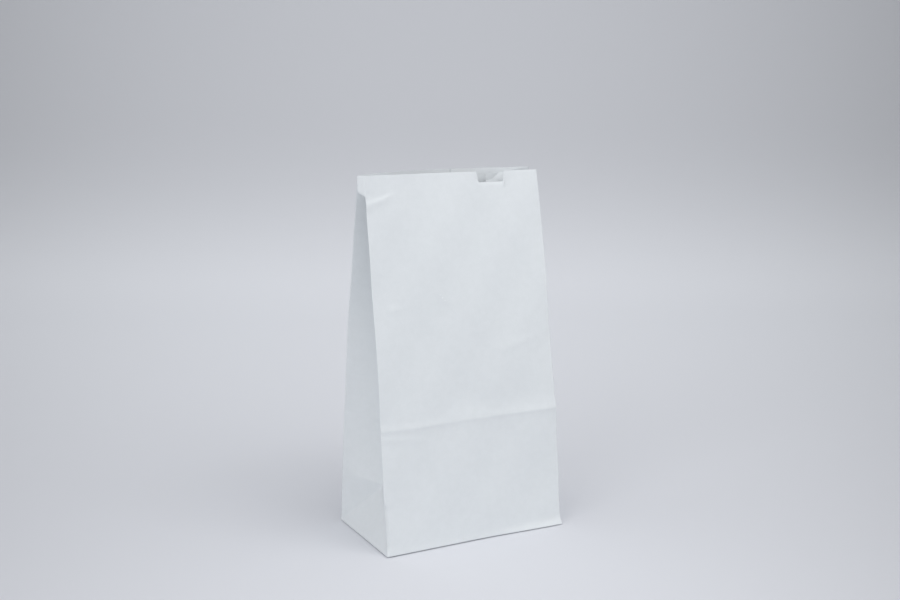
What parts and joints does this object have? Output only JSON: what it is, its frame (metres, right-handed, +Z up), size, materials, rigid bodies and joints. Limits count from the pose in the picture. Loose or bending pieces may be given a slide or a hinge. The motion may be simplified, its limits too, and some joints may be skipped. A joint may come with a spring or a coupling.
{
  "type": "paper merchandise bag",
  "caption": "Flat-bottomed paper bag with side gussets and a thumb notch in the mouth, standing open at the base with its mouth almost closed.",
  "frame": {"origin": "middle of the base, on the surface that the bag stands on", "axes": "+Z up through the mouth, +X along the front panel to the viewer's right, +Y from the front panel to the back panel"},
  "size_m": [0.1094, 0.0631, 0.2016],
  "materials": {
    "white_paper": "smooth machine-glazed paper"
  },
  "bodies": {
    "root": {"paper_bag": "white_paper"}
  },
  "joints": []
}
